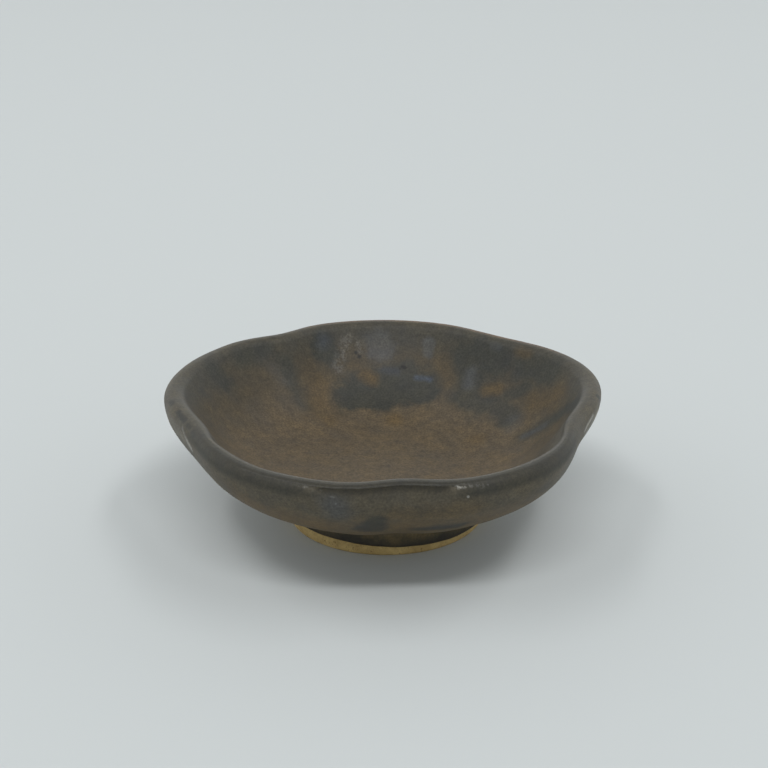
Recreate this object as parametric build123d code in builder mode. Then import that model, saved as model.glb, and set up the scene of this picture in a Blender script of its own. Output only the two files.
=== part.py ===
"""Soy sauce dish: a small stoneware bowl with a five-lobed rim, on a bare clay foot ring.

Millimetres, +Z up. The origin is the foot's centre on the table, and -Y is the dish's front.
"""

import os
from math import cos, exp, radians, sin, tan

from build123d import *

# Overall sizes, measured over the glaze.
rim_radius = 45.0
dish_height = 25.8

# Lip: round over a narrow crest, tighter outside than inside.
lip_round = 1.8
inner_round = 2.4
crest_flat = 0.4

# Foot: a plain ring turned at the underside of the bowl.
foot_radius = 19.5
foot_width = 4.2
foot_height = 5.2
foot_round = 0.7

# Bowl: the belly leaves the foot just outside it, and steepens to upright at the lip.
cove = 0.5
belly_power = 1.92

# Well: a flat floor that curves up into a wall, which still leans out by this angle at the lip.
floor_thickness = 3.4
floor_flat_radius = 8.0
wall_lean = radians(32)

# Glaze: an even coat, with a thicker roll where it pooled on the foot above the bare clay.
glaze = 0.4
glaze_roll = 0.8
glaze_line = 2.0
roll_round = 0.5

# Finger dents that make the lobes: the angle from +X, the depth at the lip and the spread in degrees.
dents = [
    (-86.0, 2.25, 9.3),
    (-18.4, 5.55, 23.0),
    (53.3, 2.6, 15.8),
    (123.0, 2.25, 9.4),
    (204.3, 4.1, 22.9),
]
dent_fade = 0.5

# How finely the level cuts through the dish are taken.
loop_points = 40
level_count = 5
lip_steps = 3

lip_height = dish_height - lip_round
crest_outside = rim_radius - lip_round
crest_inside = crest_outside - crest_flat
floor_height = foot_height + floor_thickness + glaze
well_top = dish_height - inner_round * (1 - sin(wall_lean))
well_top_radius = crest_inside - inner_round * cos(wall_lean)
well_power = tan(wall_lean) * (well_top - floor_height) / (well_top_radius - floor_flat_radius)


def dent_depth(angle):
    """How far the lip is pressed in at an angle in degrees."""
    depth = 0.0
    for centre, deepest, spread in dents:
        away = (angle - centre + 180) % 360 - 180
        depth += deepest * exp(-((away / spread) ** 2))
    return depth


def level_cut(height, radius, share):
    """A level face of the dish: a loop at this radius, less this share of the dents."""
    loop = []
    for step in range(loop_points):
        angle = 360 * step / loop_points
        reach = radius - share * dent_depth(angle)
        loop.append((reach * cos(radians(angle)), reach * sin(radians(angle))))
    with BuildSketch(Plane.XY.offset(height)) as cut:
        with BuildLine():
            Spline(*loop, periodic=True)
        make_face()
    return cut.sketch


def belly_cuts(depth):
    """Level cuts of the bowl's outside up to the lip, at this depth under the glaze's surface."""
    start = foot_radius + cove - depth
    reach = rim_radius - depth - start
    cuts = []
    for step in range(level_count + 1):
        rise = step / level_count
        height = foot_height + (lip_height - foot_height) * rise
        radius = start + reach * (1 - (1 - rise) ** belly_power)
        cuts.append(level_cut(height, radius, rise**dent_fade))
    return cuts


def well_cuts(depth):
    """Level cuts of the bowl's well up to the lip, at this depth under the glaze's surface."""
    floor = floor_height - depth
    climb = well_top - depth * sin(wall_lean) - floor
    reach = well_top_radius + depth * cos(wall_lean) - floor_flat_radius
    cuts = []
    for step in range(level_count + 1):
        rise = (step / level_count) ** 3
        radius = floor_flat_radius + reach * rise**well_power
        cuts.append(level_cut(floor + climb * rise, radius, rise**dent_fade))
    return cuts


def lip_cuts(depth, roll, start, crest_edge, side):
    """Level cuts of one side of the lip, which rolls over to its edge of the crest."""
    roll -= depth
    cuts = []
    for step in range(lip_steps + 1):
        angle = start + (radians(90) - start) * step / lip_steps
        height = dish_height - depth - roll * (1 - sin(angle))
        cuts.append(level_cut(height, crest_edge + side * roll * cos(angle), 1))
    return cuts


def bowl_at(depth):
    """The bowl with a rounded lip, at this depth under the glaze's surface."""
    belly = belly_cuts(depth)
    well = well_cuts(depth)
    outer_lip = lip_cuts(depth, lip_round, 0, crest_outside, 1)
    inner_lip = lip_cuts(depth, inner_round, wall_lean, crest_inside, -1)
    with BuildPart() as bowl:
        loft(belly)
        loft(outer_lip)
        loft(well, mode=Mode.SUBTRACT)
        loft(inner_lip, mode=Mode.SUBTRACT)
    return bowl.part


def skins_of(bowl):
    """The faces outside and inside a bowl. The crest belongs to the outside."""
    underside, floor, crest = bowl.faces().filter_by(GeomType.PLANE).sort_by(Axis.Z)
    curved = bowl.faces().filter_by(GeomType.PLANE, reverse=True).sort_by(SortBy.AREA)
    inner_lip, outer_lip, well, belly = curved
    return [belly, outer_lip, crest], [well, inner_lip, floor], underside


def inner_edge(face):
    """The smaller of a ring-shaped face's two edges."""
    return face.edges().sort_by(SortBy.LENGTH)[0]


bare_bowl = bowl_at(glaze)
glazed_bowl = bowl_at(0)
bare_outside, bare_inside, bare_underside = skins_of(bare_bowl)
glazed_outside, glazed_inside, glazed_underside = skins_of(glazed_bowl)

# The two coats part at the crest's inner edge, and the outer one ends level with the foot's top.
parting = Face.make_surface_from_curves(inner_edge(bare_outside[-1]), inner_edge(glazed_outside[-1]))
hem = Face(glazed_underside.outer_wire(), [bare_underside.outer_wire()])

# Clay bowl.
with BuildPart() as dish_body:
    add(bare_bowl)

# Bare clay foot ring under the bowl.
with BuildPart() as foot_ring:
    with BuildSketch():
        Circle(foot_radius)
        Circle(foot_radius - foot_width, mode=Mode.SUBTRACT)
    extrude(amount=foot_height)
    fillet(foot_ring.edges().group_by(Axis.Z)[0], foot_round)

# Glaze inside, between the bare well and the glazed one.
with BuildPart() as inside_glaze:
    add(Solid(Shell(bare_inside + glazed_inside + [parting])))

# Glaze outside, over the lip and belly, with the roll on the foot that ends at the glaze line.
with BuildPart() as outside_glaze:
    add(Solid(Shell(bare_outside + glazed_outside + [parting, hem])))
    with BuildSketch(Plane.XY.offset(glaze_line)):
        Circle(foot_radius + glaze_roll)
        Circle(foot_radius, mode=Mode.SUBTRACT)
    extrude(amount=foot_height - glaze_line)
    roll_edge = outside_glaze.edges().group_by(Axis.Z)[0].sort_by(SortBy.LENGTH)[-1]
    fillet(roll_edge, roll_round)

os.makedirs("parts", exist_ok=True)
dish_body.part.label = "dish_body"
export_step(dish_body.part, "parts/dish_body.step")
foot_ring.part.label = "foot_ring"
export_step(foot_ring.part, "parts/foot_ring.step")
inside_glaze.part.label = "inside_glaze"
export_step(inside_glaze.part, "parts/inside_glaze.step")
outside_glaze.part.label = "outside_glaze"
export_step(outside_glaze.part, "parts/outside_glaze.step")
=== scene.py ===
# %% [markdown]
# # A small soy sauce dish in iron glaze
#
# The dish is a hand-thrown stoneware saucer, about 9 cm wide. While the clay was soft its wall was pushed
# in at five places, which left five lobes. Later it was dipped in a brown iron glaze, and the foot was
# wiped clean, so that the dish wouldn't stick to the kiln shelf.
#
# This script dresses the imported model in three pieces: the glaze, the clay bowl under it and the clay foot.
# Lengths are in metres, as Blender's are, and a millimetre is written `mm`.

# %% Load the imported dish
import math
import bpy
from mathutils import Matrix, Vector


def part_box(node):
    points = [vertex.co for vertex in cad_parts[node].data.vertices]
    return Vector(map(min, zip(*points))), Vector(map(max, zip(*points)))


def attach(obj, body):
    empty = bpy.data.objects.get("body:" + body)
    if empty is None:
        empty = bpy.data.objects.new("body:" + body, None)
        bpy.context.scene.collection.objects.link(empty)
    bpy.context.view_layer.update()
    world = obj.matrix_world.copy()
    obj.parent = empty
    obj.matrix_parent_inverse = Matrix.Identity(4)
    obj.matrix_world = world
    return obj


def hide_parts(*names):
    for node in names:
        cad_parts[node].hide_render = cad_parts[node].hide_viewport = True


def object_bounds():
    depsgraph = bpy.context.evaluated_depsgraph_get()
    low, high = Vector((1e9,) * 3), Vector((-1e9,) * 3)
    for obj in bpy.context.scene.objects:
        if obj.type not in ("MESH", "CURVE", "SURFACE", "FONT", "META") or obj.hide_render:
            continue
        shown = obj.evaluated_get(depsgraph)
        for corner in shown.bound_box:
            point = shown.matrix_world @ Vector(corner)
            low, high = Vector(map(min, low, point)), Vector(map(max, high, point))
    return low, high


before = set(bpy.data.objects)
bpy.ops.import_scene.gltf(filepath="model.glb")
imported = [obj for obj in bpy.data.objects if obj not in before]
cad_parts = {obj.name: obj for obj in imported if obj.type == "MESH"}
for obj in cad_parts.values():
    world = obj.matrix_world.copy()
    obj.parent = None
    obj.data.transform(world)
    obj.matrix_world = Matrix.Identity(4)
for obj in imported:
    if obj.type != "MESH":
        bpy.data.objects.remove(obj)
cad_low, cad_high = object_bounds()
mm = 0.001
print("nodes:", ", ".join(sorted(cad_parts)))
print("size in mm:", [round((high - low) / mm, 1) for low, high in zip(cad_low, cad_high)])

# %% [markdown]
# ## The sizes of the bowl
#
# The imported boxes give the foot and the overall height. The rest are the few sizes a potter would set by eye:
# how wide the bowl opens, how round its lip is, and how thick the floor and how steep the wall are.

# %% Sizes
foot_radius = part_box("foot_ring")[1][0]
foot_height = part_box("foot_ring")[1][2]
dish_height = cad_high[2]
rim_radius = 45.0 * mm
lip_round = 1.8 * mm
inner_round = 2.4 * mm
crest_flat = 0.4 * mm
floor_thickness = 3.4 * mm
floor_flat = 8.0 * mm
wall_lean = math.radians(32)
glaze_depth = 0.4 * mm
print("foot radius and height in mm:", round(foot_radius / mm, 2), round(foot_height / mm, 2))

# %% Sizes that follow
lip_height = dish_height - lip_round
crest_outside = rim_radius - lip_round
crest_inside = crest_outside - crest_flat
floor_height = foot_height + floor_thickness + glaze_depth
well_top = dish_height - inner_round * (1 - math.sin(wall_lean))
well_top_radius = crest_inside - inner_round * math.cos(wall_lean)
well_power = math.tan(wall_lean) * (well_top - floor_height) / (well_top_radius - floor_flat)
print("floor of the well in mm:", round(floor_height / mm, 2))

# %% [markdown]
# ## The five presses
#
# Each lobe ends where a thumb pressed the soft wall in. A press is strongest at the lip and dies away
# towards the floor, so each one needs only an angle, a depth at the lip and a spread in degrees. Beside the
# two side presses the fingertips also pinched the lip thinner from inside, which leaves a knee in its inner
# edge. A pinch has the same three values.

# %% Presses between the lobes
presses = [
    (-86.0, 2.25 * mm, 9.3),
    (-18.4, 5.55 * mm, 23.0),
    (53.3, 2.6 * mm, 15.8),
    (123.0, 2.25 * mm, 9.4),
    (204.3, 4.1 * mm, 22.9),
]
pinches = [
    (-33.0, 1.35 * mm, 11.0),
    (-12.0, 0.85 * mm, 12.0),
    (215.0, 0.95 * mm, 7.5),
]


def press_depth(angle):
    """How far the lip is pushed in at an angle in degrees."""
    depth = 0.0
    for centre, deepest, spread in presses:
        away = (angle - centre + 180) % 360 - 180
        depth += deepest * math.exp(-((away / spread) ** 2))
    return depth


deepest_angle = max(range(360), key=press_depth)
print("deepest press:", round(press_depth(deepest_angle) / mm, 2), "mm at", deepest_angle, "degrees")

# %% [markdown]
# ## The bowl as a section
#
# A thrown bowl is one section swung round an axis, and the presses only move that section in and out. So the
# section is drawn once, as a row of points with a radius and a height. Each point also carries how much of
# a press it takes, whether it is inside the bowl, whether it shows, how far it steps back under the front
# lip, and how far it wanders with the glaze line.

# %% Points of a section
TRAITS = ("press", "inside", "shown", "ledge", "hem")


def point(radius, height, press=0.0, inside=0.0, shown=1.0, ledge=0.0, hem=0.0):
    """One point of a section."""
    return (radius, height, press, inside, shown, ledge, hem)


ledge_turn = math.radians(58)
ledge_height = lip_height + lip_round * math.sin(ledge_turn)
ledge_onset = 0.3 * mm
ledge_fade = 4.5 * mm


def ledge_share(height):
    """How much of the step under the front lip reaches this height."""
    below = ledge_height - height
    if below < 0:
        return 0.0
    return min(below / ledge_onset, max(0.0, 1.0 - below / ledge_fade))


print("the front lip steps back below", round(ledge_height / mm, 2), "mm")

# %% Curves of the belly and the well
cove = 0.5 * mm
belly_power = 1.92


def belly_radius(rise, depth=0.0):
    """Radius of the outside, from the foot at rise 0 to the lip at 1, this deep under the glaze."""
    start = foot_radius + cove - depth
    return start + (rim_radius - depth - start) * (1 - (1 - rise) ** belly_power)


def well_radius(rise, depth=0.0):
    """Radius of the inside, from the floor at rise 0 to the lip at 1, this deep under the glaze."""
    reach = well_top_radius + depth * math.cos(wall_lean) - floor_flat
    return floor_flat + reach * rise**well_power


print("radius half way up in mm:", round(well_radius(0.5) / mm, 1), "and", round(belly_radius(0.5) / mm, 1))

# %% Stretches of a section
floor_crowding = 3


def well_section(depth, steps, shown):
    """From the middle of the floor up to the lip."""
    floor = floor_height - depth
    climb = well_top - depth * math.sin(wall_lean) - floor
    row = [point(0.0, floor, 0.0, 1.0, shown)]
    flat_steps = steps // 4
    for step in range(1, flat_steps):
        row.append(point(floor_flat * step / flat_steps, floor, 0.0, 1.0, shown))
    for step in range(steps + 1):
        rise = (step / steps) ** floor_crowding
        row.append(point(well_radius(rise, depth), floor + climb * rise, math.sqrt(rise), 1.0, shown))
    return row


def lip_section(depth, steps, shown):
    """From the top of the well, over the crest, to the top of the belly."""
    row = []
    for step in range(1, steps + 1):
        turn = wall_lean + (math.pi / 2 - wall_lean) * step / steps
        radius = crest_inside - (inner_round - depth) * math.cos(turn)
        height = dish_height - depth - (inner_round - depth) * (1 - math.sin(turn))
        row.append(point(radius, height, 1.0, 1 - 0.5 * step / steps, shown))
    for step in range(steps):
        turn = math.pi / 2 * (1 - step / steps)
        radius = crest_outside + (lip_round - depth) * math.cos(turn)
        height = lip_height + (lip_round - depth) * math.sin(turn)
        row.append(point(radius, height, 1.0, 0.5 - 0.5 * step / steps, shown, ledge_share(height)))
    return row


def belly_section(depth, steps, shown):
    """From the top of the belly down to the foot."""
    row = []
    for step in range(steps + 1):
        rise = 1 - step / steps
        height = foot_height + (lip_height - foot_height) * rise
        radius = belly_radius(rise, depth)
        row.append(point(radius, height, math.sqrt(rise), 0.0, shown, ledge_share(height)))
    return row


belly_end = belly_section(0.0, steps=1, shown=1.0)[-1]
print("radius and height in mm where the belly ends:", [round(size / mm, 2) for size in belly_end[:2]])

# %% [markdown]
# ## The glaze's section
#
# The glaze is one skin over the whole bowl, and it gathered in a roll on the foot. Its section starts in the
# middle of the floor and runs along the clay, over the lip and down to the roll. Then it turns and comes back
# along the surface, so that the skin has its real thickness. Drawn this way round, its faces look outwards.

# %% Roll on the foot
glaze_roll = 0.8 * mm
roll_round = 0.5 * mm
roll_steps = 6
glaze_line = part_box("outside_glaze")[0][2]
roll_radius = foot_radius + glaze_roll
roll_shoulder = foot_height - 0.3 * mm
roll_top = foot_height - 0.6 * mm
roll_section = [point(roll_radius, roll_shoulder, hem=0.1)]
for step in range(roll_steps + 1):
    drop = step / roll_steps
    height = roll_top - (roll_top - roll_round - glaze_line) * drop
    roll_section.append(point(roll_radius, height, hem=0.2 + 0.7 * drop))
for step in range(1, roll_steps + 1):
    turn = math.pi / 2 * step / roll_steps
    radius = roll_radius - roll_round * (1 - math.cos(turn))
    roll_section.append(point(radius, glaze_line + roll_round * (1 - math.sin(turn)), hem=1.0))
roll_section.append(point(foot_radius, glaze_line, hem=1.0))
print("glaze line in mm:", round(glaze_line / mm, 2))

# %% Section of the glaze
back_of_roll = [point(foot_radius, foot_height, shown=0.0)]
glaze_section = well_section(glaze_depth, steps=20, shown=0.0)
glaze_section += lip_section(glaze_depth, steps=5, shown=0.0)
glaze_section += belly_section(glaze_depth, steps=16, shown=0.0)
glaze_section += back_of_roll + roll_section[::-1]
glaze_section += belly_section(0.0, steps=48, shown=1.0)[::-1]
glaze_section += lip_section(0.0, steps=18, shown=1.0)[::-1]
glaze_section += well_section(0.0, steps=56, shown=1.0)[::-1]
print("glaze section:", len(glaze_section), "points")

# %% [markdown]
# ## The clay's sections
#
# The clay bowl has the same section one glaze thickness in. Only its underside shows, inside the foot,
# where a turning tool left shallow rings. The foot is a plain ring with its lower edges rubbed round.

# %% Section of the clay bowl
ring_pitch = 1.7 * mm
ring_depth = 0.12 * mm
ring_steps = 90
foot_width = 4.2 * mm
recess_radius = foot_radius - foot_width
clay_section = [point(0.0, foot_height)]
for step in range(1, ring_steps + 1):
    radius = recess_radius * step / ring_steps
    wave = 0.5 - 0.5 * math.cos(2 * math.pi * radius / ring_pitch)
    clay_section.append(point(radius, foot_height + ring_depth * wave))
clay_section += belly_section(glaze_depth, steps=24, shown=0.0)[::-1]
clay_section += lip_section(glaze_depth, steps=6, shown=0.0)[::-1]
clay_section += well_section(glaze_depth, steps=24, shown=0.0)[::-1]
print("clay section:", len(clay_section), "points")

# %% Section of the foot
foot_section = []
foot_round = 0.7 * mm
wall_steps = 12
edge_steps = 6
foot_flat = foot_width - 2 * foot_round
for step in range(wall_steps + 1):
    height = foot_height - (foot_height - foot_round) * step / wall_steps
    foot_section.append(point(recess_radius, height))
for step in range(1, edge_steps + 1):
    turn = math.pi / 2 * step / edge_steps
    radius = recess_radius + foot_round * (1 - math.cos(turn))
    foot_section.append(point(radius, foot_round * (1 - math.sin(turn)), shown=1 - step / edge_steps))
for step in range(1, edge_steps):
    foot_section.append(point(recess_radius + foot_round + foot_flat * step / edge_steps, 0.0, shown=0.0))
for step in range(edge_steps + 1):
    turn = math.pi / 2 * step / edge_steps
    radius = foot_radius - foot_round * (1 - math.sin(turn))
    foot_section.append(point(radius, foot_round * (1 - math.cos(turn)), shown=step / edge_steps))
for step in range(1, wall_steps + 1):
    height = foot_round + (foot_height - foot_round) * step / wall_steps
    foot_section.append(point(foot_radius, height, shown=1 - step / wall_steps))
foot_section.append(foot_section[0])
print("foot section:", len(foot_section), "points")

# %% [markdown]
# A section is kept as a mesh with points and no faces. Named attributes hold the traits, because a node tree
# can read them by name.

# %% Sections as meshes


def section_object(name, section):
    """A mesh that holds a section's points and traits."""
    mesh = bpy.data.meshes.new(name)
    mesh.from_pydata([(row[0], 0.0, row[1]) for row in section], [], [])
    for index, trait in enumerate(TRAITS):
        values = mesh.attributes.new(trait, "FLOAT", "POINT")
        values.data.foreach_set("value", [row[2 + index] for row in section])
    return bpy.data.objects.new(name, mesh)


print("traits of a point:", ", ".join(TRAITS))

# %% [markdown]
# ## A node tree that throws and presses
#
# The bowl could be spun from the section with a modifier, and the presses sculpted in afterwards. But it
# follows a rule all the way round, so Geometry Nodes suit it better. A grid gets one column for each step
# round the axis and one row for each point of the section. The tree then looks up each row's radius and
# height, takes the presses off the radius and puts the point at its angle.

# %% Small helpers for nodes


def put(tree, kind, inputs=None, **settings):
    """Adds a node. Its inputs are given as numbers or as sockets to link from."""
    made = tree.nodes.new(kind)
    for name, value in settings.items():
        setattr(made, name, value)
    for name, value in (inputs or {}).items():
        if isinstance(value, bpy.types.NodeSocket):
            tree.links.new(value, made.inputs[name])
        else:
            made.inputs[name].default_value = value
    return made


def maths(tree, operation, *values):
    """Adds a Math node and returns its result."""
    return put(tree, "ShaderNodeMath", dict(enumerate(values)), operation=operation).outputs[0]


def vectors(tree, operation, *values):
    """Adds a Vector Math node and returns its outputs."""
    return put(tree, "ShaderNodeVectorMath", dict(enumerate(values)), operation=operation).outputs


def stretch(tree, vector, scale):
    """A vector times a number."""
    inputs = {0: vector, "Scale": scale}
    return put(tree, "ShaderNodeVectorMath", inputs, operation="SCALE").outputs[0]


def ramp(tree, value, low, high, kind="SMOOTHSTEP"):
    """0 at low, 1 at high, and a step between them."""
    inputs = {"Value": value, "From Min": low, "From Max": high}
    return put(tree, "ShaderNodeMapRange", inputs, interpolation_type=kind).outputs[0]


print("node helpers:", ", ".join(helper.__name__ for helper in (put, maths, vectors, stretch, ramp)))

# %% Inputs of the tree
thrower = bpy.data.node_groups.new("thrown_and_pressed", "GeometryNodeTree")
thrower.is_modifier = True
thrower.interface.new_socket("Geometry", in_out="OUTPUT", socket_type="NodeSocketGeometry")
tree_inputs = [("Section", "Object"), ("Around", "Int"), ("Ledge depth", "Float")]
tree_inputs += [("Ledge from", "Float"), ("Ledge to", "Float"), ("Hem wave", "Float")]
tree_inputs += [("Unevenness", "Float"), ("Uneven size", "Float"), ("Finish", "Material")]
dents = {f"Press {number}": press for number, press in enumerate(presses, 1)}
dents.update({f"Pinch {number}": pinch for number, pinch in enumerate(pinches, 1)})
dent_traits = ("angle", "depth", "spread")
for dent in dents:
    tree_inputs += [(f"{dent} {trait}", "Float") for trait in dent_traits]
for name, kind in tree_inputs:
    thrower.interface.new_socket(name, in_out="INPUT", socket_type="NodeSocket" + kind)
given = thrower.nodes.new("NodeGroupInput").outputs
print("tree inputs:", len(tree_inputs))

# %% Rows and columns
section = put(thrower, "GeometryNodeObjectInfo", {"Object": given["Section"]}).outputs["Geometry"]
rows = put(thrower, "GeometryNodeAttributeDomainSize", {"Geometry": section}).outputs["Point Count"]
columns = maths(thrower, "ADD", given["Around"], 1)
grid = put(thrower, "GeometryNodeMeshGrid", {"Vertices X": columns, "Vertices Y": rows}).outputs["Mesh"]
index = thrower.nodes.new("GeometryNodeInputIndex").outputs[0]
row = maths(thrower, "MODULO", index, rows)
column = maths(thrower, "FLOOR", maths(thrower, "DIVIDE", index, rows))
degrees = maths(thrower, "MULTIPLY", maths(thrower, "DIVIDE", column, given["Around"]), 360.0)
radians = maths(thrower, "RADIANS", degrees)


def look_up(value, kind):
    """The section's own value at this row."""
    inputs = {"Geometry": section, "Value": value, "Index": row}
    return put(thrower, "GeometryNodeSampleIndex", inputs, data_type=kind).outputs[0]


def trait_of(name):
    """One trait of the section at this row."""
    named = put(thrower, "GeometryNodeInputNamedAttribute", {"Name": name}, data_type="FLOAT")
    return look_up(named.outputs[0], "FLOAT")


place = look_up(thrower.nodes.new("GeometryNodeInputPosition").outputs[0], "FLOAT_VECTOR")
place = put(thrower, "ShaderNodeSeparateXYZ", {0: place}).outputs
traits = {name: trait_of(name) for name in TRAITS}
print("tree nodes so far:", len(thrower.nodes))

# %% Presses and pinches in the tree


def dented(kind):
    """How deep the dents of one kind are together at this column."""
    together = 0.0
    for dent in dents:
        if dent.startswith(kind):
            away = maths(thrower, "SUBTRACT", degrees, given[dent + " angle"])
            away = maths(thrower, "WRAP", away, 180.0, -180.0)
            away = maths(thrower, "DIVIDE", away, given[dent + " spread"])
            fade = maths(thrower, "MULTIPLY", maths(thrower, "MULTIPLY", away, away), -1.0)
            depth = maths(thrower, "MULTIPLY", maths(thrower, "EXPONENT", fade), given[dent + " depth"])
            together = maths(thrower, "ADD", together, depth)
    return together


pinch_fade = 4.0
pinch_from = 0.2
reach = maths(thrower, "SUBTRACT", place["X"], maths(thrower, "MULTIPLY", dented("Press"), traits["press"]))
near_lip = maths(thrower, "POWER", traits["press"], pinch_fade)
inner_side = ramp(thrower, traits["inside"], pinch_from, 1.0, "LINEAR")
thinned = maths(thrower, "MULTIPLY", near_lip, inner_side)
reach = maths(thrower, "ADD", reach, maths(thrower, "MULTIPLY", dented("Pinch"), thinned))
print("presses and pinches in the tree:", len(dents))

# %% [markdown]
# At the front the lip ends in a little ledge: a crisp edge with a dark cut beneath it, which fades out to
# both sides. Along the foot the glaze line wanders up and down by part of a millimetre.

# %% Ledge under the front lip
ledge_start_fade = 8.0
ledge_end_fade = 7.0
turned = maths(thrower, "WRAP", degrees, 180.0, -180.0)
before = maths(thrower, "SUBTRACT", given["Ledge from"], ledge_start_fade)
after = maths(thrower, "ADD", given["Ledge to"], ledge_end_fade)
starts = ramp(thrower, turned, before, given["Ledge from"])
ends = ramp(thrower, turned, after, given["Ledge to"])
groove = maths(thrower, "MULTIPLY", maths(thrower, "MULTIPLY", starts, ends), traits["ledge"])
reach = maths(thrower, "SUBTRACT", reach, maths(thrower, "MULTIPLY", groove, given["Ledge depth"]))
print("tree nodes so far:", len(thrower.nodes))

# %% Wandering glaze line
wander_scale = 2.6
sways_around = 2.0
sway_share = 0.9
across = maths(thrower, "COSINE", radians)
along = maths(thrower, "SINE", radians)
ring = put(thrower, "ShaderNodeCombineXYZ", {"X": across, "Y": along}).outputs[0]
wander = put(thrower, "ShaderNodeTexNoise", {"Vector": ring, "Scale": wander_scale, "Detail": 3.0}).outputs[0]
sway = maths(thrower, "SINE", maths(thrower, "MULTIPLY", radians, sways_around))
wander = maths(thrower, "ADD", maths(thrower, "MULTIPLY", sway, sway_share), wander)
wander = maths(thrower, "MULTIPLY", maths(thrower, "MULTIPLY", wander, given["Hem wave"]), traits["hem"])
print("tree nodes so far:", len(thrower.nodes))

# %% Thrown surface
weld_distance = 0.001 * mm
inputs = {"X": maths(thrower, "MULTIPLY", reach, across), "Y": maths(thrower, "MULTIPLY", reach, along)}
inputs["Z"] = maths(thrower, "ADD", place["Z"], wander)
spot = put(thrower, "ShaderNodeCombineXYZ", inputs).outputs[0]
thrown = put(thrower, "GeometryNodeSetPosition", {"Geometry": grid, "Position": spot}).outputs[0]
for name, value in (("inside", traits["inside"]), ("groove", groove), ("shown", traits["shown"])):
    inputs = {"Geometry": thrown, "Name": name, "Value": value}
    thrown = put(thrower, "GeometryNodeStoreNamedAttribute", inputs, data_type="FLOAT").outputs[0]
inputs = {"Geometry": thrown, "Distance": weld_distance}
closed = put(thrower, "GeometryNodeMergeByDistance", inputs).outputs[0]
print("tree nodes so far:", len(thrower.nodes))

# %% [markdown]
# A hand never leaves an even surface, so a slow noise moves the points along their normals by about a tenth
# of a millimetre. Points that don't show stay where they are. The tree ends by making the result real and
# giving it its finish.

# %% Unevenness and finish
here = thrower.nodes.new("GeometryNodeInputPosition").outputs[0]
scale = maths(thrower, "DIVIDE", 1.0, given["Uneven size"])
lumps = put(thrower, "ShaderNodeTexNoise", {"Vector": here, "Scale": scale, "Detail": 2.0}).outputs[0]
lumps = maths(thrower, "SUBTRACT", maths(thrower, "MULTIPLY", lumps, 2.0), 1.0)
shown = put(thrower, "GeometryNodeInputNamedAttribute", {"Name": "shown"}, data_type="FLOAT").outputs[0]
lumps = maths(thrower, "MULTIPLY", maths(thrower, "MULTIPLY", lumps, given["Unevenness"]), shown)
shift = stretch(thrower, thrower.nodes.new("GeometryNodeInputNormal").outputs[0], lumps)
uneven = put(thrower, "GeometryNodeSetPosition", {"Geometry": closed, "Offset": shift}).outputs[0]
smooth = put(thrower, "GeometryNodeSetShadeSmooth", {"Geometry": uneven}).outputs[0]
real = put(thrower, "GeometryNodeRealizeInstances", {"Geometry": smooth}).outputs[0]
done = put(thrower, "GeometryNodeSetMaterial", {"Geometry": real, "Material": given["Finish"]}).outputs[0]
thrower.links.new(done, thrower.nodes.new("NodeGroupOutput").inputs[0])
print("tree nodes:", len(thrower.nodes))

# %% [markdown]
# `throw` runs the tree for one section and keeps the result as a plain mesh. It counts the open edges, since
# a skin with a gap would show light through it, and its volume, which is positive when the faces look out.

# %% Measures of a mesh


def open_edges(mesh):
    """How many edges don't join exactly two faces."""
    uses = {}
    for polygon in mesh.polygons:
        for key in polygon.edge_keys:
            uses[key] = uses.get(key, 0) + 1
    return sum(1 for count in uses.values() if count != 2)


def volume_of(mesh):
    """The volume that the faces enclose."""
    mesh.calc_loop_triangles()
    volume = 0.0
    for triangle in mesh.loop_triangles:
        a, b, c = (mesh.vertices[corner].co for corner in triangle.vertices)
        volume += a.dot(b.cross(c)) / 6
    return volume


print("measures of a piece:", ", ".join(measure.__name__ for measure in (open_edges, volume_of)))

# %% Throw a piece


def throw(name, section, finish, around, settings):
    """Makes one piece with the tree and returns it as a plain mesh object."""
    holder = bpy.data.objects.new(name + "_holder", bpy.data.meshes.new(name + "_holder"))
    bpy.context.scene.collection.objects.link(holder)
    outline = section_object(name + "_section", section)
    values = {"Section": outline, "Around": around, "Finish": finish, **settings}
    for dent, measures in dents.items():
        for trait, value in zip(dent_traits, measures):
            values[f"{dent} {trait}"] = value
    modifier = holder.modifiers.new("throw", "NODES")
    modifier.node_group = thrower
    for socket in thrower.interface.items_tree:
        if socket.in_out == "INPUT" and socket.name in values:
            modifier[socket.identifier] = values[socket.name]
    evaluated = holder.evaluated_get(bpy.context.evaluated_depsgraph_get())
    mesh = bpy.data.meshes.new_from_object(evaluated)
    mesh.name = name
    bpy.data.objects.remove(holder)
    bpy.data.objects.remove(outline)
    piece = bpy.data.objects.new(name, mesh)
    bpy.context.scene.collection.objects.link(piece)
    volume = round(volume_of(mesh) / mm**3)
    print(name, len(mesh.loop_triangles), "triangles,", open_edges(mesh), "open edges,", volume, "cubic mm")
    return piece


print("inputs that throw can set:", len(tree_inputs))

# %% [markdown]
# ## Grain
#
# Both the glaze and the bare clay are speckled: iron and grit burned through them in the kiln. A shader
# group makes that grain once, for any size and strength. Its tint multiplies a colour, and its height feeds
# a bump.

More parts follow.
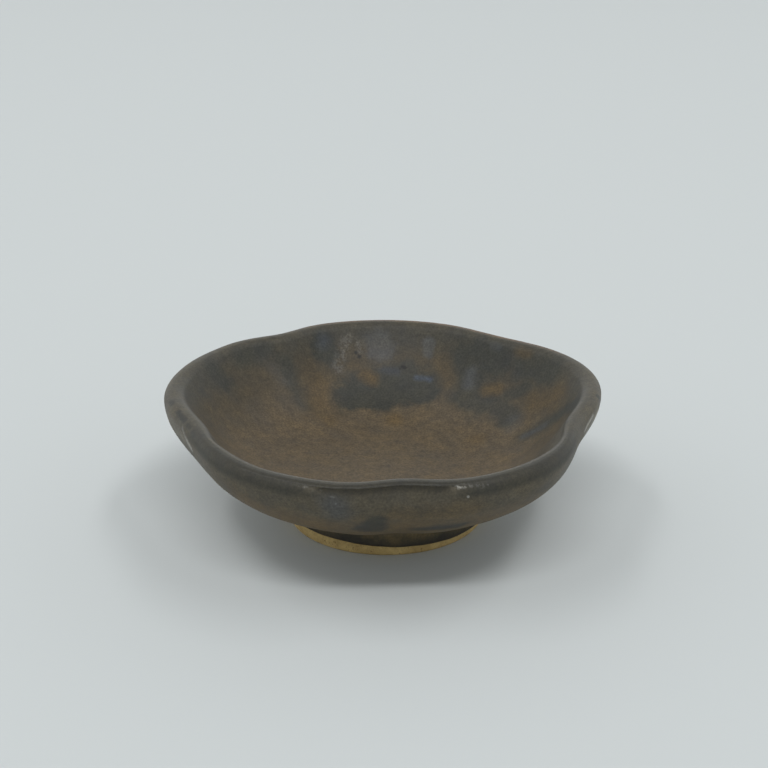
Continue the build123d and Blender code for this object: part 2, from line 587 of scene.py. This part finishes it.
# %% A shader group for grain
grain_group = bpy.data.node_groups.new("fired_grain", "ShaderNodeTree")
for name, kind in (("Place", "Vector"), ("Size", "Float"), ("Contrast", "Float")):
    grain_group.interface.new_socket(name, in_out="INPUT", socket_type="NodeSocket" + kind)
for name in ("Tint", "Height"):
    grain_group.interface.new_socket(name, in_out="OUTPUT", socket_type="NodeSocketFloat")
given = grain_group.nodes.new("NodeGroupInput").outputs
inputs = {"Vector": given["Place"], "Scale": maths(grain_group, "DIVIDE", 1.0, given["Size"]), "Detail": 3.0}
height = put(grain_group, "ShaderNodeTexNoise", inputs).outputs[0]
tint = maths(grain_group, "MULTIPLY", maths(grain_group, "SUBTRACT", height, 0.5), given["Contrast"])
tint = maths(grain_group, "ADD", tint, 1.0)
result = grain_group.nodes.new("NodeGroupOutput").inputs
grain_group.links.new(tint, result["Tint"])
grain_group.links.new(height, result["Height"])
print("grain nodes:", len(grain_group.nodes))

# %% [markdown]
# ## Marks in the glaze
#
# Iron glaze is brown where it is thin, and slate to blue-black where it pooled and cooled slowly. On this
# dish the dark pools sit on the far wall and to the right, over a warm brown floor. They could be painted on
# an image, but a few strokes are enough: each runs from one place on the surface to another, with a width
# and a soft edge. A noise makes the edges wobble, as glaze does when it runs.

# %% A shader group for one mark
mark_group = bpy.data.node_groups.new("glaze_mark", "ShaderNodeTree")
mark_inputs = [("Place", "Vector"), ("Start", "Vector"), ("End", "Vector"), ("Wobble", "Float")]
mark_inputs += [("Width", "Float"), ("Softness", "Float"), ("Strength", "Float")]
for name, kind in mark_inputs:
    mark_group.interface.new_socket(name, in_out="INPUT", socket_type="NodeSocket" + kind)
mark_group.interface.new_socket("Mask", in_out="OUTPUT", socket_type="NodeSocketFloat")
given = mark_group.nodes.new("NodeGroupInput").outputs
least_length = 1e-9
run = vectors(mark_group, "SUBTRACT", given["End"], given["Start"])[0]
out = vectors(mark_group, "SUBTRACT", given["Place"], given["Start"])[0]
length = maths(mark_group, "MAXIMUM", vectors(mark_group, "DOT_PRODUCT", run, run)["Value"], least_length)
share = maths(mark_group, "DIVIDE", vectors(mark_group, "DOT_PRODUCT", out, run)["Value"], length)
share = put(mark_group, "ShaderNodeClamp", {"Value": share}).outputs[0]
gap = vectors(mark_group, "DISTANCE", out, stretch(mark_group, run, share))["Value"]
gap = maths(mark_group, "ADD", maths(mark_group, "DIVIDE", gap, given["Width"]), given["Wobble"])
soft_start = maths(mark_group, "SUBTRACT", 1.0, given["Softness"])
soft_end = maths(mark_group, "ADD", 1.0, given["Softness"])
mask = maths(mark_group, "MULTIPLY", ramp(mark_group, gap, soft_end, soft_start), given["Strength"])
mark_group.links.new(mask, mark_group.nodes.new("NodeGroupOutput").inputs[0])
print("mark nodes:", len(mark_group.nodes))

# %% Places on the surface


def on_surface(radius, angle, height, share):
    """A point at this height, with its share of the presses taken off the radius."""
    reach = radius - share * press_depth(angle)
    turn = math.radians(angle)
    return Vector((reach * math.cos(turn), reach * math.sin(turn), height))


def on_well(angle, height):
    """The point of the glazed inside at this angle and height."""
    rise = (height - floor_height) / (well_top - floor_height)
    return on_surface(well_radius(rise), angle, height, math.sqrt(rise))


def on_belly(angle, height):
    """The point of the glazed outside at this angle and height, over the round of the lip too."""
    rise = (height - foot_height) / (lip_height - foot_height)
    if rise < 1:
        return on_surface(belly_radius(rise), angle, height, math.sqrt(rise))
    turn = math.asin((height - lip_height) / lip_round)
    return on_surface(crest_outside + lip_round * math.cos(turn), angle, height, 1.0)


def stroke(surface, start, end, width, soft, strength):
    """A mark between two places on a surface, each an angle in degrees and a height in millimetres."""
    ends = {"Start": surface(start[0], start[1] * mm), "End": surface(end[0], end[1] * mm)}
    return {**ends, "Width": width * mm, "Softness": soft, "Strength": strength}


print("half way up the far wall in mm:", [round(value / mm, 1) for value in on_well(90, 17 * mm)])

# %% [markdown]
# The strokes below are grouped by colour. On the inside, the dark pools make a broad patch low on the far
# wall, a ragged one to its right and smoky smears to its left. A few slate clouds hang under the far rim, and
# some slate strokes also carry painted sheen. The blue strokes are painted reflections on the glossier glaze,
# and the pale ones are painted sheen. Orange rust shows where the glaze thinned between the pools.

# %% Dark pools inside
dark_inside = [
    stroke(on_well, (110.6, 22.6), (109.6, 20.9), 3.1, 0.3, 0.98),
    stroke(on_well, (105, 13.2), (92, 13.2), 4.3, 0.3, 0.95),
    stroke(on_well, (90, 14.2), (75, 14.6), 4.5, 0.4, 0.95),
    stroke(on_well, (99, 15.6), (82, 17.1), 3.0, 0.5, 0.85),
    stroke(on_well, (62, 21.0), (50, 22.0), 4.6, 0.6, 0.95),
    stroke(on_well, (60, 19.4), (56, 16.2), 3.4, 0.6, 0.85),
    stroke(on_well, (40, 22.0), (29, 22.8), 3.4, 0.7, 0.90),
    stroke(on_well, (57, 15.2), (47, 14.6), 3.6, 0.6, 0.85),
    stroke(on_well, (43, 14.8), (33, 13.8), 3.0, 0.6, 0.80),
    stroke(on_well, (35, 19.2), (40, 16.4), 1.8, 0.6, 0.80),
    stroke(on_well, (-3, 24.4), (4, 22.4), 1.4, 0.7, 0.98),
    stroke(on_well, (4, 22.4), (8, 19.8), 1.6, 0.7, 0.95),
    stroke(on_well, (8, 19.8), (11, 17.4), 1.7, 0.8, 0.90),
    stroke(on_well, (11, 17.4), (17, 13.0), 1.9, 0.9, 0.75),
    stroke(on_well, (153, 23.8), (151.5, 20.8), 2.3, 0.8, 0.80),
    stroke(on_well, (140, 23.6), (131, 24.0), 1.9, 0.9, 0.75),
    stroke(on_well, (126.5, 21.4), (125.5, 17.2), 2.0, 0.7, 0.85),
    stroke(on_well, (125.5, 17.2), (125, 13.8), 2.2, 0.7, 0.80),
]
print("dark strokes inside:", len(dark_inside))

# %% Slate, painted blue sheen and rust inside
# Slate glaze; the lighter strokes, like the one at 58 degrees, also carry painted sheen.
slate_and_sheen_inside = [
    stroke(on_well, (92.4, 22.3), (92, 20.4), 2.9, 0.5, 0.52),
    stroke(on_well, (76, 22.4), (76, 20.8), 1.4, 0.5, 0.60),
    stroke(on_well, (58, 18.8), (57, 16.7), 1.2, 1.0, 0.70),
    stroke(on_well, (53, 24.6), (51, 24.6), 0.8, 1.0, 0.45),
    stroke(on_well, (131, 20.2), (129, 17.6), 1.2, 1.0, 0.25),
    stroke(on_well, (12.5, 15.8), (16.5, 13.0), 0.9, 1.0, 0.45),
    stroke(on_well, (29, 13.6), (27, 12.8), 1.8, 1.0, 0.35),
]
# Painted reflections: a blue sheen on glossier patches of the dark glaze.
blue_sheen_inside = [
    stroke(on_well, (110.3, 23.2), (110.5, 22.6), 1.4, 0.9, 0.45),
    stroke(on_well, (91, 17.3), (86, 17.0), 0.8, 1.0, 0.45),
    stroke(on_well, (78.4, 16.2), (73.4, 16.1), 0.55, 1.0, 1.00),
]
rust_inside = [
    stroke(on_well, (97.4, 16.5), (95.6, 15.8), 1.5, 0.9, 0.90),
    stroke(on_well, (100.7, 18.2), (98.9, 17.2), 1.3, 0.9, 0.40),
    stroke(on_well, (49, 16.4), (45, 17.2), 1.3, 0.8, 0.65),
    stroke(on_well, (43.5, 24.6), (40.5, 24.8), 1.2, 0.9, 0.45),
    stroke(on_well, (118, 16.0), (120, 12.0), 3.2, 0.9, 0.55),
    stroke(on_well, (69.5, 19.4), (66.5, 16.6), 1.8, 0.9, 0.35),
    stroke(on_well, (28, 17.4), (19, 20.4), 2.4, 0.9, 0.45),
    stroke(on_well, (86, 10.3), (86, 10.3), 1.8, 0.9, 0.45),
    stroke(on_well, (35, 10.3), (35, 10.3), 1.8, 0.9, 0.40),
]
print("slate, blue and rust strokes inside:", len(slate_and_sheen_inside + blue_sheen_inside + rust_inside))

# %% Painted sheen and pits inside
# Painted sheen, broken into streaks by a noise.
pale_sheen_inside = [
    stroke(on_well, (102, 23.2), (107, 18.2), 1.2, 0.9, 0.45),
    stroke(on_well, (99, 22.0), (98.5, 20.6), 0.9, 0.9, 0.45),
]
pit_inside = [
    stroke(on_well, (99.9, 20.4), (99.8, 20.4), 0.44, 0.5, 0.85),
    stroke(on_well, (99.0, 19.7), (98.9, 19.7), 0.54, 0.5, 0.85),
    stroke(on_well, (84.9, 17.5), (84.8, 17.5), 0.26, 0.5, 0.80),
    stroke(on_well, (84.0, 17.8), (83.2, 17.7), 0.36, 0.5, 0.90),
]
print("scratches and pits inside:", len(pale_sheen_inside + pit_inside))

# %% [markdown]
# Outside there is less to see: two dark runs near the foot, rust between them, a slate bloom at the front
# left, smudges along the left lip, and painted shade for a nick in the right one. Pale streaks of painted
# highlight lie along the edges of the side presses, with a painted pale haze on both sides of the belly. A
# painted pale line, a few painted glints and some painted flecks of highlight lie along the front lip.

# %% Dark runs, rust and slate outside
dark_outside = [
    stroke(on_belly, (-92.6, 18.6), (-97, 15.4), 1.5, 0.6, 0.85),
    stroke(on_belly, (-91.8, 18.2), (-91.8, 15.0), 1.5, 0.6, 0.90),
    stroke(on_belly, (-94, 15.8), (-94, 14.6), 2.1, 0.6, 0.90),
    stroke(on_belly, (-81, 13.9), (-76, 14.9), 1.5, 0.7, 0.85),
    stroke(on_belly, (-76, 14.9), (-71, 15.2), 1.8, 0.7, 0.95),
    stroke(on_belly, (185, 25.6), (187, 25.6), 0.55, 0.6, 0.80),
    stroke(on_belly, (193, 25.6), (199, 25.5), 0.55, 0.6, 0.95),
    stroke(on_belly, (202, 25.4), (204, 25.4), 0.55, 0.6, 0.95),
    stroke(on_belly, (207, 25.3), (209, 25.1), 0.55, 0.6, 0.95),
    # Painted shade: a dark line standing in for a nick in the right lip.
    stroke(on_belly, (-0.2, 25.1), (1.4, 23.4), 0.62, 0.4, 1.00),
]
rust_outside = [
    stroke(on_belly, (-128, 18.4), (-108, 16.4), 3.0, 0.9, 0.60),
    stroke(on_belly, (-88, 19.4), (-70, 20.4), 2.0, 0.9, 0.45),
]
slate_outside = [stroke(on_belly, (-102, 23.0), (-101, 21.4), 2.4, 0.9, 0.55)]
print("dark, rust and slate strokes outside:", len(dark_outside + rust_outside + slate_outside))

# %% Painted highlights outside: pale streaks, glints and flecks
# Painted reflections and highlights: a pale haze on each side of the belly, then a pale line along the front
# lip.
pale_highlights_outside = [
    stroke(on_belly, (-40, 21.5), (-31, 19.5), 4.0, 1.0, 0.24),
    stroke(on_belly, (217, 21.5), (213, 20.0), 3.0, 1.0, 0.12),
]
line_height = 25.53
line_step = 6
for angle in range(-126, -66, line_step):
    start, end = (angle, line_height), (angle + line_step, line_height)
    pale_highlights_outside.append(stroke(on_belly, start, end, 0.13, 0.7, 0.60))
# Painted highlights: glints on the front lip, and pale streaks over the edges of the side presses and near the
# silhouette.
glint_highlights_outside = [
    stroke(on_belly, (-104.7, 25.2), (-104.5, 25.2), 0.34, 0.6, 0.80),
    stroke(on_belly, (-102.4, 24.1), (-101.6, 23.9), 0.24, 0.8, 0.50),
    stroke(on_belly, (-101.2, 22.8), (-101.2, 22.7), 0.18, 0.6, 0.40),
    stroke(on_belly, (-71.5, 23.5), (-71.5, 23.5), 0.24, 0.4, 1.00),
    stroke(on_belly, (200.5, 24.2), (203.5, 23.0), 0.45, 0.9, 0.35),
    stroke(on_belly, (203.5, 23.0), (207, 22.0), 0.55, 0.9, 0.45),
    stroke(on_belly, (-3, 22.2), (-13, 20.4), 1.10, 1.0, 0.28),
    stroke(on_belly, (186, 23.2), (204, 22.4), 1.30, 1.0, 0.13),
    stroke(on_belly, (3, 23.4), (-6, 22.4), 1.30, 1.0, 0.15),
    stroke(on_belly, (-8, 23.3), (-16, 22.3), 0.45, 0.8, 0.45),
]
# Painted highlights, broken into flecks by a noise.
fleck_highlights_outside = [
    stroke(on_belly, (-73.6, 25.45), (-67.0, 25.05), 0.50, 0.5, 0.90),
    stroke(on_belly, (-112, 25.55), (-108, 25.25), 0.30, 0.6, 0.30),
]
print("pale strokes, glints and flecks outside:", len(pale_highlights_outside + glint_highlights_outside + fleck_highlights_outside))

# %% [markdown]
# ## The glaze's finish
#
# The colours are laid in layers: first the brown glaze, thinner and warmer on the floor and low on the belly,
# then the pools, rust and blooms with painted sheen and highlights among them, then the crest line, painted
# shade under the front lip and in the ledge, and the roll, then the clouds and the grain. The surface is satin,
# a little glossier where it is slate or carries painted sheen or highlights, and the skin of the glaze is
# faintly pebbled.

# %% Helpers for colours


def noise(tree, where, size, detail=3.0):
    """A noise with features of about this size."""
    inputs = {"Vector": where, "Scale": 1 / size, "Detail": detail, "Roughness": 0.55}
    return put(tree, "ShaderNodeTexNoise", inputs).outputs[0]


def swing(tree, where, size, reach):
    """A noise about zero, which spans this reach from its lowest to its highest."""
    return maths(tree, "MULTIPLY", maths(tree, "SUBTRACT", noise(tree, where, size), 0.5), reach)


def blend(tree, factor, first, second, how="MIX"):
    """Mixes two colours, given as numbers or sockets."""
    made = put(tree, "ShaderNodeMix", {0: factor}, data_type="RGBA", blend_type=how)
    for socket, value in zip(made.inputs[6:8], (first, second)):
        if isinstance(value, bpy.types.NodeSocket):
            tree.links.new(value, socket)
        else:
            socket.default_value = (*value, 1.0)
    return made.outputs[2]


def speckle(tree, where, colour, size, contrast):
    """A colour with grain over it, and the grain's height."""
    grain = put(tree, "ShaderNodeGroup", {}, node_tree=grain_group)
    tree.links.new(where, grain.inputs["Place"])
    grain.inputs["Size"].default_value = size
    grain.inputs["Contrast"].default_value = contrast
    tint = put(tree, "ShaderNodeCombineColor", dict.fromkeys(range(3), grain.outputs["Tint"])).outputs[0]
    return blend(tree, 1.0, colour, tint, "MULTIPLY"), grain.outputs["Height"]


print("colour helpers:", ", ".join(helper.__name__ for helper in (noise, swing, blend, speckle)))

# %% Brown glaze
floor_brown = (0.095, 0.070, 0.040)
wall_brown = (0.060, 0.046, 0.025)
wall_grey = (0.045, 0.041, 0.029)
belly_olive = (0.066, 0.055, 0.035)
belly_brown = (0.092, 0.062, 0.026)
floor_end = 10 * mm
wall_start = 19 * mm
wall_end = 25 * mm
belly_low = 15 * mm
belly_high = 21 * mm
glaze_finish = bpy.data.materials.new("iron_glaze")
glaze_finish.use_nodes = True
coat = glaze_finish.node_tree
coat.nodes.clear()
where = coat.nodes.new("ShaderNodeTexCoord").outputs["Object"]
spot = put(coat, "ShaderNodeSeparateXYZ", {0: where}).outputs
height = spot["Z"]
inside = put(coat, "ShaderNodeAttribute", attribute_name="inside").outputs["Fac"]
outside = maths(coat, "SUBTRACT", 1.0, inside)
drifted = maths(coat, "ADD", height, swing(coat, where, size=9 * mm, reach=8 * mm))
inner = blend(coat, ramp(coat, drifted, floor_end, wall_start), floor_brown, wall_brown)
inner = blend(coat, ramp(coat, drifted, wall_start, wall_end), inner, wall_grey)
outer = blend(coat, ramp(coat, drifted, belly_low, belly_high), belly_brown, belly_olive)
colour = blend(coat, inside, outer, inner)
print("glaze nodes so far:", len(coat.nodes))

# %% Where strokes lie
slow_wobble = swing(coat, where, size=3.5 * mm, reach=1.3)
fine_wobble = swing(coat, where, size=0.9 * mm, reach=0.6)
wobble = maths(coat, "ADD", slow_wobble, fine_wobble)


def covered(strokes, side=None):
    """Where any of these strokes lies, on one side of the bowl or on both, as one mask."""
    mask = 0.0
    for inputs in strokes:
        mark = put(coat, "ShaderNodeGroup", node_tree=mark_group)
        for name, value in inputs.items():
            mark.inputs[name].default_value = value
        coat.links.new(where, mark.inputs["Place"])
        coat.links.new(wobble, mark.inputs["Wobble"])
        mask = maths(coat, "MAXIMUM", mask, mark.outputs["Mask"])
    return mask if side is None else maths(coat, "MULTIPLY", mask, side)


# The pale and glint masks are painted sheen and highlights; the slate mask is slate glaze with some painted
# sheen.
sheen_streaks = ramp(coat, noise(coat, where, size=0.8 * mm), low=0.35, high=0.65)
painted_flecks = ramp(coat, noise(coat, where, size=0.5 * mm), low=0.50, high=0.58)
slate_and_sheen = maths(coat, "MAXIMUM", covered(slate_and_sheen_inside, inside), covered(slate_outside, outside))
painted_sheens = maths(coat, "MULTIPLY", covered(pale_sheen_inside, inside), sheen_streaks)
painted_sheens = maths(coat, "MAXIMUM", painted_sheens, covered(pale_highlights_outside))
painted_glints = maths(coat, "MULTIPLY", covered(fleck_highlights_outside), painted_flecks)
painted_glints = maths(coat, "MAXIMUM", painted_glints, covered(glint_highlights_outside))
print("glaze nodes so far:", len(coat.nodes))

# %% Pools, rust and blooms, with painted sheen and highlights
dark = (0.030, 0.031, 0.024)
dark_run_and_nick_shade = (0.022, 0.022, 0.016)
rust = (0.097, 0.060, 0.017)
slate = (0.051, 0.056, 0.060)
# blue, pale and the glint white are painted reflection, sheen and highlight.
blue = (0.044, 0.055, 0.074)
pale = (0.130, 0.124, 0.112)
painted_glint_white = (0.420, 0.415, 0.390)
pit = (0.006, 0.005, 0.004)
colour = blend(coat, covered(rust_outside, outside), colour, rust)
colour = blend(coat, covered(dark_inside, inside), colour, dark)
colour = blend(coat, covered(dark_outside), colour, dark_run_and_nick_shade)
colour = blend(coat, covered(rust_inside, inside), colour, rust)
colour = blend(coat, slate_and_sheen, colour, slate)
colour = blend(coat, covered(blue_sheen_inside, inside), colour, blue)
colour = blend(coat, painted_sheens, colour, pale)
colour = blend(coat, painted_glints, colour, painted_glint_white)
colour = blend(coat, covered(pit_inside, inside), colour, pit)
print("glaze nodes so far:", len(coat.nodes))

# %% [markdown]
# At the edges the glaze drew back from the crest of the far lip, where it left a reddish line, and it gathered
# in the roll on the foot, where it is dark olive. Under the front lip the glaze is darkened with painted shade,
# and the cut of the ledge is dark olive, partly pooled glaze and partly painted shade.

# %% Crest line, and painted shade under the front lip
crest_red = (0.115, 0.070, 0.038)
lip_shade = (0.023, 0.021, 0.013)
crest_place = 0.44
darkest_lip = 0.92
groove = put(coat, "ShaderNodeAttribute", attribute_name="groove").outputs["Fac"]
off_crest = maths(coat, "ABSOLUTE", maths(coat, "SUBTRACT", inside, crest_place))
far_side = ramp(coat, spot["Y"], low=16 * mm, high=32 * mm)
far_side = maths(coat, "MULTIPLY", far_side, ramp(coat, spot["X"], low=-24 * mm, high=-6 * mm))
crest = maths(coat, "MULTIPLY", ramp(coat, off_crest, low=0.12, high=0.02), far_side)
colour = blend(coat, crest, colour, crest_red)
# Painted shade: the outer round of the lip is darkened on the front side, less where the ledge cut is.
front_side = ramp(coat, spot["Y"], low=-10 * mm, high=-24 * mm)
round_of_lip = ramp(coat, height, low=22.4 * mm, high=24.2 * mm)
outer_side = ramp(coat, inside, low=0.58, high=0.47)
shade_under_lip = maths(coat, "MULTIPLY", maths(coat, "MULTIPLY", round_of_lip, outer_side), front_side)
shade_under_lip = maths(coat, "MULTIPLY", shade_under_lip, maths(coat, "SUBTRACT", darkest_lip, groove))
colour = blend(coat, shade_under_lip, colour, lip_shade)
print("glaze nodes so far:", len(coat.nodes))

# %% Pooled glaze and painted shade in the ledge cut, and the roll
ledge_olive = (0.018, 0.015, 0.007)
roll_brown = (0.085, 0.062, 0.024)
roll_black = (0.020, 0.016, 0.008)
# The ledge cut is darkened: pooled glaze and painted shade together.
ledge_pool_and_shade = ramp(coat, groove, low=0.62, high=0.90)
colour = blend(coat, ledge_pool_and_shade, colour, ledge_olive)
roll = blend(coat, ramp(coat, drifted, low=2.5 * mm, high=5.5 * mm), roll_black, roll_brown)
on_roll = maths(coat, "MULTIPLY", ramp(coat, height, low=5.8 * mm, high=4.8 * mm), outside)
colour = blend(coat, on_roll, colour, roll)
print("glaze nodes so far:", len(coat.nodes))

# %% Clouds and grain of the glaze
cloud_cool = (0.82, 0.85, 0.93)
cloud_warm = (1.18, 1.14, 1.03)
cloud = noise(coat, where, size=5 * mm, detail=4.0)
cloudy = blend(coat, ramp(coat, cloud, 0.3, 0.7, "LINEAR"), cloud_cool, cloud_warm)
colour = blend(coat, 1.0, colour, cloudy, "MULTIPLY")
colour, mottle = speckle(coat, where, colour, size=1.5 * mm, contrast=0.8)
colour, grain = speckle(coat, where, colour, size=0.4 * mm, contrast=1.6)
print("glaze nodes so far:", len(coat.nodes))

# %% Satin surface
satin_roughness = 0.54
cloud_roughness = 0.12
sheen_gloss = 0.16
gathered_dullness = 0.2
mottle_share = 0.7
grain_share = 0.4
sheen = maths(coat, "MAXIMUM", maths(coat, "MAXIMUM", slate_and_sheen, painted_sheens), painted_glints)
sheen = maths(coat, "MULTIPLY", sheen, sheen_gloss)
roughness = maths(coat, "ADD", maths(coat, "MULTIPLY", cloud, cloud_roughness), satin_roughness)
roughness = maths(coat, "SUBTRACT", roughness, sheen)
roughness = maths(coat, "ADD", roughness, maths(coat, "MULTIPLY", ledge_pool_and_shade, gathered_dullness))
pebbles = maths(coat, "MULTIPLY", mottle, mottle_share)
pebbles = maths(coat, "ADD", pebbles, maths(coat, "MULTIPLY", grain, grain_share))
bump = put(coat, "ShaderNodeBump", {"Height": pebbles, "Distance": 0.06 * mm, "Strength": 0.8}).outputs[0]
inputs = {"Base Color": colour, "Roughness": roughness, "Normal": bump}
satin = put(coat, "ShaderNodeBsdfPrincipled", inputs).outputs[0]
coat.links.new(satin, put(coat, "ShaderNodeOutputMaterial").inputs["Surface"])
print("glaze nodes:", len(coat.nodes))

# %% [markdown]
# ## The bare clay's finish
#
# The foot and the underside were wiped, so the clay shows: a sandy buff that fired unevenly, with grit dark
# enough to see. It is dull all over.

# %% Clay
clay_buff = (0.36, 0.255, 0.098)
clay_sand = (0.49, 0.360, 0.148)
grit_brown = (0.18, 0.120, 0.045)
clay_finish = bpy.data.materials.new("buff_clay")
clay_finish.use_nodes = True
body = clay_finish.node_tree
body.nodes.clear()
where = body.nodes.new("ShaderNodeTexCoord").outputs["Object"]
patch = ramp(body, noise(body, where, size=2.5 * mm), 0.35, 0.65, "LINEAR")
colour = blend(body, patch, clay_buff, clay_sand)
colour, sand = speckle(body, where, colour, size=0.5 * mm, contrast=1.0)
colour = blend(body, ramp(body, sand, low=0.55, high=0.72), colour, grit_brown)
bump = put(body, "ShaderNodeBump", {"Height": sand, "Distance": 0.15 * mm, "Strength": 0.9}).outputs[0]
inputs = {"Base Color": colour, "Roughness": 0.85, "Normal": bump}
dull = put(body, "ShaderNodeBsdfPrincipled", inputs).outputs[0]
body.links.new(dull, put(body, "ShaderNodeOutputMaterial").inputs["Surface"])
print("clay nodes:", len(body.nodes))

# %% [markdown]
# ## The three pieces
#
# Each section now goes through the tree with its finish. The glaze gets the most steps round the axis, as it
# is nearly all that shows. Every piece rides on the dish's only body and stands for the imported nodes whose
# place it takes.

# %% Pieces
lump_size = 14 * mm
ledge = {"Ledge depth": 0.45 * mm, "Ledge from": -104.0, "Ledge to": -77.0}
uneven_glaze = {"Unevenness": 0.14 * mm, "Uneven size": lump_size, "Hem wave": 0.5 * mm}
uneven_foot = {"Unevenness": 0.10 * mm, "Uneven size": lump_size}
# The bowl's clay is even, but the tree divides by its size of lumps.
even_clay = {"Uneven size": lump_size}
glaze_settings = {**ledge, **uneven_glaze}
clay_settings = {**ledge, **even_clay}
glaze_skin = throw("glaze_skin", glaze_section, glaze_finish, around=400, settings=glaze_settings)
bowl_clay = throw("bowl_clay", clay_section, clay_finish, around=240, settings=clay_settings)
foot_clay = throw("foot_clay", foot_section, clay_finish, around=300, settings=uneven_foot)

# %% Bodies and nodes
for piece, slot, nodes in (
    (glaze_skin, "glaze", ("inside_glaze", "outside_glaze")),
    (bowl_clay, "clay", ("dish_body",)),
    (foot_clay, "clay", ("foot_ring",)),
):
    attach(piece, "root")
    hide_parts(*nodes)
    print(piece.name, "stands for", " and ".join(nodes))

# %% [markdown]
# ## The table
#
# The dish stands on a sheet of pale, cool paper that runs far past the picture's edges. It is staging, not
# part of the dish.

# %% Floor
floor_reach = 6.0
paper_white = (0.58, 0.613, 0.618, 1.0)
corners = [(-floor_reach, -floor_reach, 0), (floor_reach, -floor_reach, 0)]
corners += [(floor_reach, floor_reach, 0), (-floor_reach, floor_reach, 0)]
floor_mesh = bpy.data.meshes.new("floor")
floor_mesh.from_pydata(corners, [], [(0, 1, 2, 3)])
floor = bpy.data.objects.new("floor", floor_mesh)
bpy.context.scene.collection.objects.link(floor)
paper = bpy.data.materials.new("pale_paper")
paper.use_nodes = True
shade = paper.node_tree.nodes["Principled BSDF"]
shade.inputs["Base Color"].default_value = paper_white
shade.inputs["Roughness"].default_value = 0.9
floor_mesh.materials.append(paper)
print("floor:", 2 * floor_reach, "m square")

# %% [markdown]
# ## The light
#
# The light is a plain studio set. Long strip lamps hang in front and at both sides, each level with the edge
# of a low ceiling, so the shadow under the dish is a soft disc with its clearest edge in front. Two softboxes
# fill the rest. The world stands for the white walls around them: bright near the horizon, more so behind
# the dish, and dark overhead.

# %% White walls
front_strength = 0.90
back_strength = 1.80
wall_white = (0.97, 1.0, 1.0, 1.0)
scene = bpy.context.scene
world = bpy.data.worlds.new("studio")
world.use_nodes = True
walls = world.node_tree
towards = walls.nodes.new("ShaderNodeTexCoord").outputs["Generated"]
towards = put(walls, "ShaderNodeSeparateXYZ", {0: towards}).outputs
inputs = {"Value": towards["Z"], "To Min": 1.0, "To Max": 0.0}
near_horizon = put(walls, "ShaderNodeMapRange", inputs).outputs[0]
inputs = {"Value": towards["Y"], "From Min": -1.0, "To Min": front_strength, "To Max": back_strength}
towards_back = put(walls, "ShaderNodeMapRange", inputs).outputs[0]
strength = maths(walls, "MULTIPLY", near_horizon, towards_back)
walls.links.new(strength, walls.nodes["Background"].inputs["Strength"])
walls.nodes["Background"].inputs["Color"].default_value = wall_white
scene.world = world
print("strength of the walls:", front_strength, "in front and", back_strength, "behind")

# %% Lamps
lamp_distance = 4.0
# Name, turn in degrees from the front towards the right, rise in degrees, width, height, power.
lamps = [
    ("front_strip", 0, 61, 3.0, 0.45, 58.0),
    ("left_strip", -90, 61, 3.0, 0.6, 25.5),
    ("right_strip", 90, 61, 3.0, 0.6, 29.5),
    ("left_fill", -85, 40, 3.0, 2.4, 7.0),
    ("back_fill", 180, 25, 3.0, 2.4, 4.0),
]
for name, turn, rise, width, tall, power in lamps:
    light = bpy.data.lights.new(name, "AREA")
    light.shape = "RECTANGLE"
    light.size = width
    light.size_y = tall
    light.energy = power
    lamp = bpy.data.objects.new(name, light)
    turn = math.radians(turn)
    rise = math.radians(rise)
    aim = Vector((math.sin(turn) * math.cos(rise), -math.cos(turn) * math.cos(rise), math.sin(rise)))
    lamp.location = lamp_distance * aim
    lamp.rotation_euler = aim.to_track_quat("Z", "Y").to_euler()
    scene.collection.objects.link(lamp)
print("lamps:", len(lamps))

# %% [markdown]
# ## The camera
#
# The camera looks down on the dish at about 21 degrees, from a third of a metre. Its place follows from the
# pixel where the middle of the foot stands in the picture.

# %% Camera
picture_pixels = 768
pitch = math.radians(21.5)
distance = 330 * mm
focal_pixels = 1631.4
foot_pixel = (385.8, 511.5)
forward = Vector((0.0, math.cos(pitch), -math.sin(pitch)))
upward = Vector((0.0, math.sin(pitch), math.cos(pitch)))
sideways = Vector((1.0, 0.0, 0.0))
shift_right = (picture_pixels / 2 - foot_pixel[0]) * distance / focal_pixels
shift_up = (foot_pixel[1] - picture_pixels / 2) * distance / focal_pixels
camera_data = bpy.data.cameras.new("camera")
camera_data.sensor_width = 36.0
camera_data.lens = camera_data.sensor_width * focal_pixels / picture_pixels
camera_data.clip_start = 0.01
camera = bpy.data.objects.new("camera", camera_data)
camera.location = shift_right * sideways + shift_up * upward - distance * forward
camera.rotation_euler = (math.pi / 2 - pitch, 0.0, 0.0)
scene.collection.objects.link(camera)
scene.camera = camera
scene.view_settings.view_transform = "Standard"
print("camera in mm:", [round(value / mm, 1) for value in camera.location])
